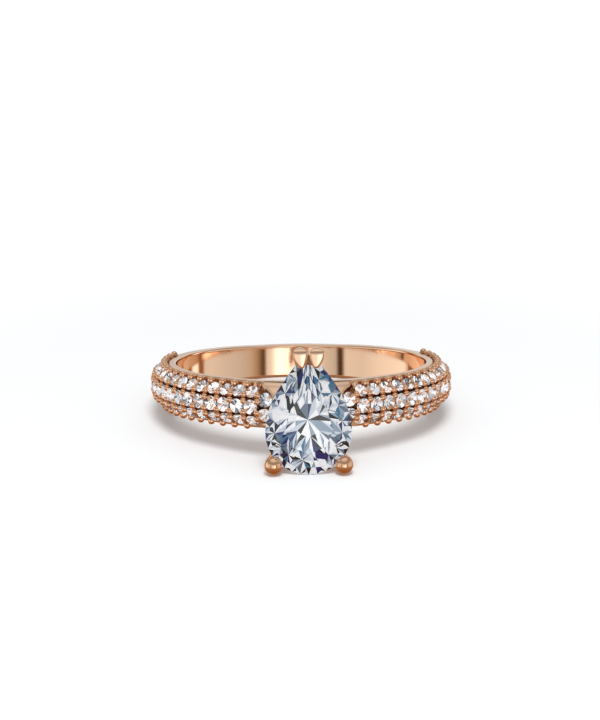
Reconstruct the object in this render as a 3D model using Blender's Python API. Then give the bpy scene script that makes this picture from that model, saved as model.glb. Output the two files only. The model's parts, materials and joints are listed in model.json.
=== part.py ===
"""A cathedral engagement ring: a pear-cut diamond in a four-prong basket, and three rows of pave down each shoulder.

Sizes are in millimetres and are turned into metres where a mesh is made. The ring is modelled about its own finger
hole: Z runs along the hole and -Y points through the centre stone. It is then laid on its side, as it comes to rest on
a table, on its two round prongs and the back edge of the shank, with the table at Z = 0.
"""

import math

import bmesh
import bpy
from mathutils import Matrix, Vector

MM = 0.001

# The finger hole and the plain back of the shank.
FINGER_DIAMETER = 16.5
BACK_WIDTH = 2.2
BACK_THICKNESS = 1.3
FRONT_WIDTH = 3.0
WIDENING = 0.6  # how early the shank reaches its front width on the way round
FLAT_BACK = 160.0  # degrees from the centre stone, where the shank stops narrowing
EDGE_CHAMFER = 0.1
SIDE_FACE = 0.45  # radial height of the flat side face
SIDE_SLOPE = 0.14  # how far that face falls away along the shoulders
RAIL_THICKNESS = 0.7  # the part of the shank that passes under the head
STATION_STEP = 5.0  # degrees between sections of the plain shank

# Pave stones: three rows down each shoulder, and a pair that closes the rows at the head.
MIDDLE_STONE = 0.97
SIDE_STONE = 0.985  # wide enough for a row's stones to meet at their girdles
END_STONE = 0.97
COLUMNS = 16
SPACING = 1.0  # between columns, along the middle row
FIRST_COLUMN = 20.8  # degrees from the centre stone to the first full column
STONE_SEAT = 1.5  # radial height of the middle row's girdle above the finger hole
SIDE_ROW_SPREAD = 0.93  # the side rows' distance from the middle plane
ROW_TILT = math.radians(40)
END_SPREAD = 0.5
END_TILT = math.radians(20)
PAVE_SIDES = 8

# Brilliant cut, as shares of a stone's diameter.
CROWN_HEIGHT = 0.15
GIRDLE_HEIGHT = 0.03
PAVILION_DEPTH = 0.43
TABLE_WIDTH = 0.57

# The metal between the pave stones.
POST_HALF_WIDTH = 0.115
POST_INSET = 0.385  # from a row's centre line to the near side of its posts
POST_THICKNESS = 0.12
POST_HEIGHT = 0.18  # of a post's tip above the girdle
SEAT_DEPTH = 0.52  # of the trough under the girdle
TROUGH = 0.21  # half width of its floor
SCALLOP = 0.27  # half length of the cut between two posts, along the row
SCALLOP_DEPTH = 0.38
GROOVE_DEPTH = 0.2  # of the line between two rows

# Cathedral shoulders: they leave the finger rail and climb to the gallery.
RISE = 0.5
RISE_START = 36.0  # degrees from the centre stone
RISE_POWER = 1.3
ARCH_THICKNESS = 1.0
SHOULDER_CLEARANCE = 0.2  # between a shoulder's end and the stone
POCKET_COLUMNS = 1.52  # how far the bed of the closing stones reaches past the first column

# Centre stone: a pear, point up.
PEAR_LENGTH = 7.5
PEAR_WIDTH = 5.35
PEAR_OFFSET = -0.1  # of its middle from the shank's middle plane
PEAR_CULET = 3.25  # from the round end to the culet
PEAR_BELLY = 0.66  # fullness of the sides between the widest line and the point
PEAR_TAPER = 0.38  # narrowing towards the point
PEAR_TABLE = 0.55
PEAR_CROWN = 0.78
PEAR_GIRDLE = 0.12
PEAR_PAVILION = 2.4
CULET_CLEARANCE = 0.2  # above the finger rail
OUTLINE_STEPS = 12  # on each side of the pear

# The head.
WIRE_RADIUS = 0.33
BALL_RADIUS = 0.57
BALL_ANGLE = math.radians(46.5)  # of the round prongs, from the round end
BALL_CLEARANCE = 0.33  # from the girdle out to a ball's middle
TIP_PRONG_SPREAD = 0.52
TIP_PRONG_WIDTH = 0.43
TIP_PRONG_REACH = 0.78  # over the crown
TIP_PRONG_RISE = 0.34  # past the stone's point
RAIL_WIDTH = 0.42
GALLERY_SCALE = 0.66
GALLERY_LIFT = 1.38  # of the gallery rail's underside above the finger rail
GALLERY_HEIGHT = 0.42
BASE_SCALE = 0.33
BASE_HEIGHT = 0.45
BASE_SINK = 0.1  # taken off its underside where it lies on the finger rail
WIRE_SIDES = 10

SEAT_GAP = 0.02  # left between pieces that touch or are soldered

FINGER_RADIUS = FINGER_DIAMETER / 2
RAIL_RADIUS = FINGER_RADIUS + RAIL_THICKNESS
SEAT_RADIUS = FINGER_RADIUS + STONE_SEAT
SIDE_ROW_DROP = SIDE_ROW_SPREAD * math.tan(ROW_TILT / 2)
CULET_RADIUS = RAIL_RADIUS + CULET_CLEARANCE
GIRDLE_RADIUS = CULET_RADIUS + PEAR_PAVILION
PEAR_BOTTOM = PEAR_OFFSET - PEAR_LENGTH / 2
PEAR_WIDEST = PEAR_BOTTOM + PEAR_WIDTH / 2
CULET_Z = PEAR_BOTTOM + PEAR_CULET
GALLERY_RADIUS = RAIL_RADIUS + GALLERY_LIFT
BASE_RADIUS = RAIL_RADIUS - BASE_SINK
SHOULDER_TOP = SEAT_RADIUS + RISE
STONE_HALF = (SHOULDER_TOP - CULET_RADIUS) / PEAR_PAVILION * PEAR_WIDTH / 2  # of the stone at the shoulders' top
SHOULDER_END = math.degrees(math.asin((STONE_HALF + SHOULDER_CLEARANCE) / SHOULDER_TOP))


# Placing things round the finger hole.


def on_ring(angle, radius, z):
    """The point at that angle from the centre stone, in degrees, and that radius from the hole's axis."""
    a = math.radians(angle)
    return Vector((radius * math.sin(a), -radius * math.cos(a), z))


def at_head(x, out, z):
    """A point of the head, where out is the distance from the hole's axis towards the centre stone."""
    return Vector((x, -out, z))


def rise(angle):
    """How far the shoulder has climbed above the round shank at that angle."""
    share = (RISE_START - abs(angle)) / (RISE_START - SHOULDER_END)
    return RISE * min(max(share, 0.0), 1.0) ** RISE_POWER


def column_angles():
    """The angles of the columns and, between them, of the posts that part them."""
    angles = [FIRST_COLUMN]
    for _ in range(2 * COLUMNS - 1):
        radius = SEAT_RADIUS + rise(angles[-1])
        angles.append(angles[-1] + math.degrees(SPACING / 2 / radius))
    return angles[::2], angles[1::2]


def half_width(angle):
    """Half the shank's width. It is the same all along the back, whose side faces are flat."""
    back = math.cos(math.radians(FLAT_BACK))
    share = max((math.cos(math.radians(angle)) - back) / (1 - back), 0.0)
    return (BACK_WIDTH + (FRONT_WIDTH - BACK_WIDTH) * share**WIDENING) / 2


def row_frame(angle, row):
    """(centre, along, across, outward) of a stone's seat in row 1, 0 or -1 of the column at that angle."""
    tilt = row * ROW_TILT
    seat = SEAT_RADIUS + rise(angle) - abs(row) * SIDE_ROW_DROP
    return seat_frame(angle, seat, row * SIDE_ROW_SPREAD, tilt)


def end_frame(side_angle, row):
    """The same for the pair of stones that closes the rows at the head."""
    drop = END_SPREAD * math.tan(END_TILT / 2)
    seat = SEAT_RADIUS + rise(side_angle) - drop
    return seat_frame(side_angle, seat, row * END_SPREAD, row * END_TILT)


def seat_frame(angle, radius, z, tilt):
    """A frame at that place, leaning with the slope of the shoulder."""
    before, after = (on_ring(angle + step, radius + rise(angle + step) - rise(angle), 0) for step in (-1, 1))
    along = (after - before).normalized()
    away = Vector((along.y, -along.x, 0))
    axis = Vector((0, 0, 1))
    outward = away * math.cos(tilt) + axis * math.sin(tilt)
    across = axis * math.cos(tilt) - away * math.sin(tilt)
    return on_ring(angle, radius, z), along, across, outward


# Making meshes.


def material(name, colour, roughness, metallic, transmission=0.0):
    made = bpy.data.materials.new(name)
    made.use_nodes = True
    shader = made.node_tree.nodes["Principled BSDF"]
    shader.inputs["Base Color"].default_value = (*colour, 1)
    shader.inputs["Roughness"].default_value = roughness
    shader.inputs["Metallic"].default_value = metallic
    shader.inputs["Transmission Weight"].default_value = transmission
    return made


def add(name, bm, finish, parent, smooth=None):
    """Makes an object of a bmesh in millimetres. Smooth is the angle in degrees under which edges are shaded round."""
    bmesh.ops.recalc_face_normals(bm, faces=bm.faces)
    bmesh.ops.scale(bm, vec=(MM, MM, MM), verts=bm.verts)
    mesh = bpy.data.meshes.new(name)
    bm.to_mesh(mesh)
    bm.free()
    if smooth:
        mesh.shade_smooth()
        mesh.set_sharp_from_angle(angle=math.radians(smooth))
    mesh.materials.append(finish)
    made = bpy.data.objects.new(name, mesh)
    bpy.context.scene.collection.objects.link(made)
    made.parent = parent
    return made


def hide(cutter):
    cutter.hide_render = True
    cutter.display_type = "WIRE"
    return cutter


def boolean(piece, other, operation):
    modifier = piece.modifiers.new(f"{operation.lower()}_{other.name}", "BOOLEAN")
    modifier.operation = operation
    modifier.object = other


def loft(bm, sections, closed):
    """Skins rings of points. A closed loft joins the last ring to the first, and an open one is capped."""
    rings = [[bm.verts.new(p) for p in section] for section in sections]
    pairs = list(zip(rings, rings[1:]))
    if closed:
        pairs.append((rings[-1], rings[0]))
    for first, second in pairs:
        for i in range(len(first)):
            j = (i + 1) % len(first)
            bm.faces.new((first[i], first[j], second[j], second[i]))
    if not closed:
        bm.faces.new(rings[0])
        bm.faces.new(rings[-1])


def hull(bm, points):
    verts = [bm.verts.new(p) for p in points]
    made = bmesh.ops.convex_hull(bm, input=verts)
    unused = [g for g in made["geom_interior"] if isinstance(g, bmesh.types.BMVert)]
    bmesh.ops.delete(bm, geom=unused, context="VERTS")


# Stones.


def brilliant(bm, frame, diameter):
    """A round brilliant with its girdle on the seat, flat sides towards its neighbours in the row."""
    centre, along, across, outward = frame
    half = diameter / 2 / math.cos(math.pi / PAVE_SIDES)
    levels = (
        (TABLE_WIDTH * half, CROWN_HEIGHT * diameter),
        (half, 0.0),
        (half, -GIRDLE_HEIGHT * diameter),
    )
    points = [centre - outward * PAVILION_DEPTH * diameter]
    for radius, height in levels:
        for i in range(PAVE_SIDES):
            a = math.tau * (i + 0.5) / PAVE_SIDES
            points.append(
                centre + (along * math.cos(a) + across * math.sin(a)) * radius + outward * height
            )
    hull(bm, points)


def pear_outline(scale=1.0, grow=0.0):
    """The pear's outline as (x, z), from its round end up the right side to the point and down the left.
    It is scaled about the culet, then grown outwards."""
    half = PEAR_WIDTH / 2
    length = PEAR_LENGTH - half
    points = []
    for i in range(OUTLINE_STEPS + 1):
        t = math.pi * i / OUTLINE_STEPS
        if t <= math.pi / 2:
            points.append((half * math.sin(t), PEAR_WIDEST - half * math.cos(t)))
        else:
            up = (t - math.pi / 2) / (math.pi / 2)
            width = half * (1 - up**2) ** PEAR_BELLY * (1 - PEAR_TAPER * up**2)
            points.append((width, PEAR_WIDEST + length * up))
    points += [(-x, z) for x, z in reversed(points[1:-1])]
    scaled = [Vector((x * scale, CULET_Z + (z - CULET_Z) * scale)) for x, z in points]
    count = len(scaled)
    grown = []
    for i, p in enumerate(scaled):
        tangent = (scaled[(i + 1) % count] - scaled[i - 1]).normalized()
        grown.append(p + Vector((tangent.y, -tangent.x)) * grow)
    return grown


def pear(bm, grow=0.0):
    """The pear-cut stone, or the shape of its seat when grown."""
    levels = (
        (PEAR_TABLE, GIRDLE_RADIUS + PEAR_GIRDLE + PEAR_CROWN + grow),
        (1.0, GIRDLE_RADIUS + PEAR_GIRDLE + grow / 2),
        (1.0, GIRDLE_RADIUS - grow / 2),
    )
    points = [at_head(0, CULET_RADIUS - grow, CULET_Z)]
    for scale, out in levels:
        points += [at_head(p.x, out, p.y) for p in pear_outline(scale, grow)]
    hull(bm, points)


# The shank, as rings of points round the finger hole.


def half_section(angle, kind):
    """Half of a cross-section, as (radius, z), from the finger hole out and round to the middle plane."""
    width = half_width(angle)
    lift = rise(angle) if kind != "rail" else 0.0
    bore = [(FINGER_RADIUS, width - EDGE_CHAMFER), (FINGER_RADIUS + EDGE_CHAMFER, width)]
    if kind == "plain":
        return bore + dome(FINGER_RADIUS + SIDE_FACE + EDGE_CHAMFER, FINGER_RADIUS + BACK_THICKNESS, width)
    if kind == "rail":
        return bore + dome(RAIL_RADIUS - EDGE_CHAMFER, RAIL_RADIUS, width)
    shoulder = [*bore, (FINGER_RADIUS + SIDE_FACE + lift, width - SIDE_SLOPE)]
    seat = SEAT_RADIUS + lift
    if kind == "pocket":
        floor = seat - SEAT_DEPTH
        rim = (seat - 0.5 * SIDE_ROW_DROP, END_SPREAD + END_STONE / 2 + 3 * SEAT_GAP)
        wall = (rim[0], rim[1] + POST_THICKNESS)
        shares = (0.95, 0.8, 0.65, 0.5, 0.35, 0.2)
        return shoulder + [wall, rim] + [(floor, rim[1] * share) for share in shares]
    if kind == "lip":
        rim = (seat, END_SPREAD + END_STONE / 2)
        wall = (rim[0] - POST_THICKNESS, rim[1] + POST_THICKNESS)
        shares = (0.8, 0.65, 0.5, 0.35, 0.2, 0.1)
        return shoulder + [wall, rim] + [(seat, rim[1] * share) for share in shares]
    drop, spread = SIDE_ROW_DROP, SIDE_ROW_SPREAD
    out = (math.cos(ROW_TILT), math.sin(ROW_TILT))

    def side_row(across, height):
        return (
            seat - drop - across * out[1] + height * out[0],
            spread + across * out[0] + height * out[1],
        )

    edge = POST_INSET + POST_THICKNESS
    peak = POST_INSET + POST_THICKNESS / 3
    ridge = (spread + POST_INSET) / 2 - 0.11
    if kind == "post":
        return shoulder + [
            side_row(edge, POST_HEIGHT),
            side_row(POST_INSET, POST_HEIGHT),
            side_row(TROUGH, -SEAT_DEPTH),
            side_row(-TROUGH, -SEAT_DEPTH),
            side_row(-peak, POST_HEIGHT),
            (seat - GROOVE_DEPTH, ridge),
            (seat + POST_HEIGHT, peak),
            (seat - SEAT_DEPTH, TROUGH),
        ]
    return shoulder + [
        side_row(edge, -0.5 * SCALLOP_DEPTH),
        side_row(POST_INSET, -0.6 * SCALLOP_DEPTH),
        side_row(TROUGH, -SEAT_DEPTH),
        side_row(-TROUGH, -SEAT_DEPTH),
        (seat - SCALLOP_DEPTH, ridge + 0.05),
        (seat - SCALLOP_DEPTH, ridge),
        (seat - SCALLOP_DEPTH, ridge - 0.06),
        (seat - SEAT_DEPTH, TROUGH),
    ]


def dome(side, crown, width):
    """The nine points of a smooth outer face, from the top of its side face to just short of the middle."""
    points = []
    for i in range(9):
        a = math.pi / 2 * i / 8.4
        points.append((side + (crown - side) * math.sin(a), width * math.cos(a) ** 0.7))
    return points


def section(angle, kind):
    half = half_section(angle, kind)
    whole = half + [(r, -z) for r, z in reversed(half)]
    return [on_ring(angle, r, z) for r, z in whole]


def stations():
    """(angle, kind) of every section of one half of the shank, from under the head to the middle of the back."""
    post = math.degrees(POST_HALF_WIDTH / SEAT_RADIUS)
    cut = math.degrees(SCALLOP / SEAT_RADIUS)
    thin = 0.4
    found = [(0.0, "rail"), (0.5 * SHOULDER_END, "rail"), (SHOULDER_END - thin, "rail")]
    columns, posts = column_angles()
    pocket_start = columns[0] - 2 * POCKET_COLUMNS * (posts[0] - columns[0])
    found += [(SHOULDER_END, "lip"), (pocket_start - thin, "lip")]
    pocket_end = 3 * columns[0] - 2 * posts[0] + cut
    found += [(pocket_start, "pocket"), (pocket_end, "pocket")]
    for middle, after in zip(columns, posts):
        found += [
            (middle - cut, "cut"),
            (middle + cut, "cut"),
            (after - post, "post"),
            (after + post, "post"),
        ]
    start = posts[-1] + post + thin
    steps = math.ceil((180 - start) / STATION_STEP)
    found += [(start + (180 - start) * i / steps, "plain") for i in range(steps + 1)]
    return found


def shank(bm):
    half = stations()
    sections = [section(angle, kind) for angle, kind in half]
    sections += [section(-angle, kind) for angle, kind in reversed(half[1:-1])]
    loft(bm, sections, closed=True)


def window(bm, side):
    """The opening between the climbing shoulder and the finger rail, as a bar along the hole's axis."""
    start = min(
        (a for a in range(int(SHOULDER_END), int(RISE_START))
         if SEAT_RADIUS + rise(a) - ARCH_THICKNESS < RAIL_RADIUS + 0.05),
        default=RISE_START,
    )
    first = SHOULDER_END - 3
    steps = 6
    angles = [first + (start - first) * i / steps for i in range(steps + 1)]
    low = [on_ring(side * a, RAIL_RADIUS, 0) for a in angles]
    high = [
        on_ring(side * a, max(SEAT_RADIUS + rise(a) - ARCH_THICKNESS, RAIL_RADIUS), 0)
        for a in reversed(angles[:-1])
    ]
    outline = low + high
    reach = Vector((0, 0, FRONT_WIDTH))
    loft(bm, [[p - reach for p in outline], [p + reach for p in outline]], closed=False)


# The head's wires and rails.


def tube(bm, path, radii, flatten=None):
    """A round wire through the points of path, with a radius at each, or (along, across) radii for a flattened one."""
    sections = []
    for i, p in enumerate(path):
        before, after = path[max(i - 1, 0)], path[min(i + 1, len(path) - 1)]
        forward = (after - before).normalized()
        side = forward.cross(Vector((0, 0, 1))).normalized()
        if flatten:
            side = Vector((1, 0, 0))
        up = side.cross(forward).normalized()
        wide, thick = radii[i] if flatten else (radii[i], radii[i])
        ring = []
        for j in range(WIRE_SIDES):
            a = math.tau * j / WIRE_SIDES
            ring.append(p + side * wide * math.cos(a) + up * thick * math.sin(a))
        sections.append(ring)
    loft(bm, sections, closed=False)


def foot_of(x, z):
    """A point of the base rail's line, under the point (x, z) of the girdle."""
    return BASE_SCALE * x, CULET_Z + BASE_SCALE * (z - CULET_Z)


def ball_prong(bm, side, grow=0.0):
    """A round prong: a wire that leans out from the base past the gallery to the girdle, and ends in a ball."""
    reach = PEAR_WIDTH / 2 + BALL_CLEARANCE
    x = side * reach * math.sin(BALL_ANGLE)
    z = PEAR_WIDEST - reach * math.cos(BALL_ANGLE)
    foot_x, foot_z = foot_of(x, z)
    ball_out = GIRDLE_RADIUS + PEAR_GIRDLE + 0.25 * BALL_RADIUS
    foot = at_head(foot_x, RAIL_RADIUS - WIRE_RADIUS, foot_z)
    knee = at_head(x * 0.84, GALLERY_RADIUS + GALLERY_HEIGHT, CULET_Z + (z - CULET_Z) * 0.84)
    neck = at_head(x, GIRDLE_RADIUS - 0.6 * BALL_RADIUS, z)
    ball = at_head(x, ball_out, z)
    path = [foot, foot.lerp(knee, 0.5), knee, neck]
    radii = [0.8 * WIRE_RADIUS, 0.9 * WIRE_RADIUS, WIRE_RADIUS, 1.15 * WIRE_RADIUS]
    for share in (-0.72, -0.35, 0.0, 0.35, 0.72, 0.93):
        path.append(ball + at_head(0, share * BALL_RADIUS, 0))
        radii.append(BALL_RADIUS * math.sqrt(1 - share**2))
    tube(bm, path, [r + grow for r in radii])


def tip_prong(bm, side, grow=0.0):
    """A claw prong: a wire that climbs past the pear's point and bends over it as a leaf that narrows to its tip."""
    tip_z = PEAR_BOTTOM + PEAR_LENGTH
    x = side * TIP_PRONG_SPREAD
    foot_z = CULET_Z + BASE_SCALE * (tip_z - CULET_Z)
    crown = GIRDLE_RADIUS + PEAR_GIRDLE
    top = tip_z + TIP_PRONG_RISE
    end = tip_z - TIP_PRONG_REACH
    path = [
        at_head(x * 0.8, RAIL_RADIUS - WIRE_RADIUS, foot_z),
        at_head(x * 0.85, GALLERY_RADIUS - 0.4, CULET_Z + (tip_z - CULET_Z) * 0.72),
        at_head(x, GIRDLE_RADIUS - 0.55, tip_z + 0.05),
        at_head(x, GIRDLE_RADIUS - 0.1, top - 0.07),
        at_head(x, crown + 0.18, top),
        at_head(x, crown + 0.42, top - 0.18),
        at_head(x * 0.98, crown + 0.5, tip_z - 0.2),
        at_head(x * 0.87, crown + 0.48, tip_z - 0.5),
        at_head(x * 0.76, crown + 0.44, end),
    ]
    full = TIP_PRONG_WIDTH
    radii = [
        (0.65 * full, 0.75 * WIRE_RADIUS),
        (0.67 * full, 0.8 * WIRE_RADIUS),
        (0.72 * full, 0.8 * WIRE_RADIUS),
        (0.77 * full, 0.8 * WIRE_RADIUS),
        (0.84 * full, 0.72 * WIRE_RADIUS),
        (full, 0.66 * WIRE_RADIUS),
        (0.98 * full, 0.6 * WIRE_RADIUS),
        (0.67 * full, 0.5 * WIRE_RADIUS),
        (0.3 * full, 0.36 * WIRE_RADIUS),
    ]
    tube(bm, path, [(w + grow, t + grow) for w, t in radii], flatten=True)


def bed(bm):
    """The finger rail, grown, that the head's feet are cut to."""
    arc = [on_ring(2 * i, RAIL_RADIUS + SEAT_GAP, 0) for i in range(-12, 13)]
    outline = [Vector((0, 0, 0)), *arc]
    reach = Vector((0, 0, FRONT_WIDTH))
    loft(bm, [[p - reach for p in outline], [p + reach for p in outline]], closed=False)


def pear_rail(bm, scale, out, height):
    """A closed rail that follows the pear's outline at that scale."""
    inner = pear_outline(scale, -RAIL_WIDTH / 2)
    outer = pear_outline(scale, RAIL_WIDTH / 2)
    sections = []
    for near, far in zip(inner, outer):
        sections.append(
            [
                at_head(near.x, out, near.y),
                at_head(far.x, out, far.y),
                at_head(far.x, out + height, far.y),
                at_head(near.x, out + height, near.y),
            ]
        )
    loft(bm, sections, closed=True)


# Putting it together.


def lay_down(ring):
    """Tips the ring on its round prongs and the back edge of the shank, and centres it on the table."""
    bpy.context.view_layer.update()
    pieces = [o for o in ring.children if not o.hide_render]
    graph = bpy.context.evaluated_depsgraph_get()
    points = []
    for piece in pieces:
        mesh = piece.evaluated_get(graph).to_mesh()
        points += [v.co.copy() for v in mesh.vertices]
        piece.evaluated_get(graph).to_mesh_clear()
    low, high = 0.0, math.radians(30)
    for _ in range(40):
        tilt = (low + high) / 2
        turned = [(math.cos(tilt) * p.z - math.sin(tilt) * p.y, p.y) for p in points]
        if min(turned)[1] < 0:
            low = tilt
        else:
            high = tilt
    lean = Matrix.Rotation(-high, 4, "X")
    turned = [lean @ p for p in points]
    middle = [(min(p[i] for p in turned) + max(p[i] for p in turned)) / 2 for i in (0, 1)]
    ring.rotation_euler = (-high, 0, 0)
    ring.location = (-middle[0], -middle[1], -min(p.z for p in turned))


def main():
    for found in list(bpy.data.objects):
        bpy.data.objects.remove(found)
    gold = material("rose_gold", (0.85, 0.58, 0.44), 0.12, 1.0)
    diamond = material("diamond", (0.93, 0.96, 1.0), 0.0, 0.0, 0.8)
    ring = bpy.data.objects.new("ring_frame", None)
    bpy.context.scene.collection.objects.link(ring)
    columns, posts = column_angles()
    end_column = 2.94 * columns[0] - 1.94 * posts[0]

    def make(name, finish, build, *args, smooth=None):
        bm = bmesh.new()
        build(bm, *args)
        return add(name, bm, finish, ring, smooth)

    band = make("shank", gold, shank)
    seat = hide(make("pear_seat_cutter", gold, pear, SEAT_GAP))
    gallery = make("gallery_rail", gold, pear_rail, GALLERY_SCALE, GALLERY_RADIUS, GALLERY_HEIGHT)
    base = make("base_rail", gold, pear_rail, BASE_SCALE, BASE_RADIUS, BASE_HEIGHT)
    boolean(gallery, seat, "DIFFERENCE")
    floor = hide(make("bed_cutter", gold, bed))
    boolean(base, floor, "DIFFERENCE")
    make("centre_stone", diamond, pear)
    for side, word in ((-1, "left"), (1, "right")):
        boolean(band, hide(make(f"window_cutter_{word}", gold, window, side)), "DIFFERENCE")
        for kind, build in (("round", ball_prong), ("tip", tip_prong)):
            prong = make(f"prong_{kind}_{word}", gold, build, side, smooth=50)
            boolean(prong, seat, "DIFFERENCE")
            boolean(prong, floor, "DIFFERENCE")
            slot = hide(make(f"slot_cutter_{kind}_{word}", gold, build, side, SEAT_GAP))
            boolean(gallery, slot, "DIFFERENCE")
            boolean(base, slot, "DIFFERENCE")
        for number, angle in enumerate(columns, 1):
            name = f"pave_middle_{word}_{number:02d}"
            make(name, diamond, brilliant, row_frame(side * angle, 0), MIDDLE_STONE)
        for row, place in ((1, "upper"), (-1, "lower")):
            odd_and_even = []
            for first in (0, 1):
                bm = bmesh.new()
                for angle in columns[first::2]:
                    brilliant(bm, row_frame(side * angle, row), SIDE_STONE)
                name = f"pave_row_{place}_{word}" + ("" if first == 0 else "_even")
                odd_and_even.append(add(name, bm, diamond, ring))
            boolean(odd_and_even[0], hide(odd_and_even[1]), "UNION")
            name = f"pave_end_{place}_{word}"
            make(name, diamond, brilliant, end_frame(side * end_column, row), END_STONE)
    lay_down(ring)


main()
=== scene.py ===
"""The looks of a rose gold engagement ring with a pear-cut diamond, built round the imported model.

Pieces are modelled in millimetres about the upright finger hole, with Z along the hole and -Y through the
centre stone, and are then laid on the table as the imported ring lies."""

import json
import math

import bmesh
import bpy
import numpy as np
from mathutils import Matrix, Vector


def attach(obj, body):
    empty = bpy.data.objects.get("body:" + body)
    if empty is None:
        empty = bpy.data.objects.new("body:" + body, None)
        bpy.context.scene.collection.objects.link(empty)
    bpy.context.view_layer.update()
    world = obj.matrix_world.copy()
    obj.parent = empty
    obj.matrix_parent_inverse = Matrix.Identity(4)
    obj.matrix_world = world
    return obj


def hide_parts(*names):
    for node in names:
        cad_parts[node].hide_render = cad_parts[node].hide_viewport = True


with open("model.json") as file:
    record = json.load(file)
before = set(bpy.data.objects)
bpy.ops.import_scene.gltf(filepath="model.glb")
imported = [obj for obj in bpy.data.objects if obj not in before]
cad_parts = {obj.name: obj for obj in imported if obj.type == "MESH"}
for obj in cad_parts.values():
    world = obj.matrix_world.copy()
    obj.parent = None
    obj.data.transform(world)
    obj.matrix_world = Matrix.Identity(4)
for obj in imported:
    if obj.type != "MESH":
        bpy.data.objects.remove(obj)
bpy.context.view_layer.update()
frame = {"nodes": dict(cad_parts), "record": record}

# The table, the light and the camera.
# The ring lies on a white table under one wide soft light, in a room of pale and dark screens that show only
# as reflections in the metal and in the stones.

MM = 0.001


def mount(name):
    found = next(m for m in frame["record"]["mounts"] if m["name"] == name)
    return Vector(found["pos_m"]), Vector(found["axis"])


# The hole's axis and its middle come from the two flat side faces at the back of the shank.
FACE_RADIUS = 8.575
upper_face, hole_axis = mount("band_face_upper")
lower_face = mount("band_face_lower")[0]
to_back = hole_axis.cross(Vector((1, 0, 0))).normalized()
hole_middle = (upper_face + lower_face) / 2 - to_back * FACE_RADIUS * MM
lean = Matrix((Vector((1, 0, 0)), to_back, hole_axis)).transposed().to_4x4()
PLACE = Matrix.Translation(hole_middle) @ lean @ Matrix.Scale(MM, 4)

CAMERA_DISTANCE = 160.0
CAMERA_ELEVATION = math.radians(9.9)
CAMERA_AZIMUTH = math.radians(2.2)
LOOK_ABOVE = 1.44  # the point looked at, from the middle of the hole
LOOK_LEFT = 0.07
LENS = 120.8

flat = CAMERA_DISTANCE * math.cos(CAMERA_ELEVATION)
eye = PLACE @ Vector(
    (
        -flat * math.sin(CAMERA_AZIMUTH),
        -flat * math.cos(CAMERA_AZIMUTH),
        CAMERA_DISTANCE * math.sin(CAMERA_ELEVATION),
    )
)
aim = hole_middle + Vector((-LOOK_LEFT, 0, LOOK_ABOVE)) * MM
bpy.ops.object.camera_add(location=eye, rotation=(aim - eye).to_track_quat("-Z", "Y").to_euler())
camera = bpy.context.object
camera.data.lens = LENS
camera.data.clip_start = 0.005
bpy.context.scene.camera = camera
bpy.context.scene.view_settings.view_transform = "Standard"


class Wire:
    """A socket of a shader. Arithmetic on it adds Math nodes, and node() adds any other."""

    def __init__(self, tree, socket=None):
        self.tree = tree
        self.socket = socket

    def node(self, kind, settings, inputs):
        """The first output of a new node. Settings are set first, then each input gets a value or a wire."""
        made = self.tree.nodes.new("ShaderNode" + kind)
        for name, value in settings.items():
            if name == "stops":
                ramp = made.color_ramp.elements
                while len(ramp) < len(value):
                    ramp.new(1)
                for stop, (position, colour) in zip(ramp, value):
                    stop.position = position
                    stop.color = (*colour, 1) if isinstance(colour, tuple) else (colour,) * 3 + (1,)
            elif name == "interpolation":
                made.color_ramp.interpolation = value
            else:
                setattr(made, name, value)
        for name, value in inputs.items():
            if isinstance(value, Wire):
                self.tree.links.new(value.socket, made.inputs[name])
            else:
                made.inputs[name].default_value = value
        return Wire(self.tree, made.outputs[0] if made.outputs else None)

    def out(self, name):
        return Wire(self.tree, self.socket.node.outputs[name])

    def math(self, operation, *values):
        return self.node("Math", {"operation": operation}, dict(enumerate(values)))

    def smooth(self, low, high, most=1.0):
        """Rises smoothly from 0 at low to most at high."""
        inputs = {"Value": self, "From Min": low, "From Max": high, "To Max": most}
        return self.node("MapRange", {"interpolation_type": "SMOOTHSTEP"}, inputs)

    def __add__(self, other):
        return self.math("ADD", self, other)

    def __radd__(self, other):
        return self.math("ADD", other, self)

    def __sub__(self, other):
        return self.math("SUBTRACT", self, other)

    def __rsub__(self, other):
        return self.math("SUBTRACT", other, self)

    def __mul__(self, other):
        return self.math("MULTIPLY", self, other)

    def __rmul__(self, other):
        return self.math("MULTIPLY", other, self)


def mixed(factor, first, second):
    """A colour between two, each given as a wire or a colour."""
    return factor.node("Mix", {"data_type": "RGBA"}, {0: factor, 6: first, 7: second}).out(2)


def screens(room, stops):
    """A shade that changes round the room, from stops of (degrees from the front, grey or colour)."""
    turn = room.math("ARCTAN2", room.out("X"), room.out("Y") * -1) * (0.5 / math.pi) + 0.5
    placed = [(0.5 + angle / 360, shade) for angle, shade in stops]
    return room.node("ValToRGB", {"stops": placed}, {"Fac": turn})


world = bpy.data.worlds.new("studio")
bpy.context.scene.world = world
world.use_nodes = True
world.node_tree.nodes.clear()
studio = Wire(world.node_tree)
direction = studio.node("TexCoord", {}, {})
room = direction.node("SeparateXYZ", {}, {"Vector": direction.out("Generated")})
DEEP = (0.08, 0.04, 0.015)
WARM = (0.32, 0.13, 0.04)
ROUND_THE_ROOM = (
    (-180, 0.6), (-145, 0.8), (-134, WARM), (-122, WARM), (-114, 1.1), (-80, 0.95), (-62, 0.8),
    (-44, 0.85), (-41.5, DEEP), (-37.5, DEEP), (-35, 0.6), (-24, 0.75), (-16, 1.05), (0, 1.05),
    (9, 1.8), (20, 2.0), (25, 1.0), (30, 0.8), (32, DEEP), (35, (0.18, 0.1, 0.05)),
    (39, (0.42, 0.32, 0.23)), (46, (0.6, 0.54, 0.47)), (56, 0.64), (90, 0.8), (99, 0.8),
    (103, WARM), (108, WARM), (111, 1.3), (117, 1.3), (121, WARM), (130, WARM), (145, 0.7),
)
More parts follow.
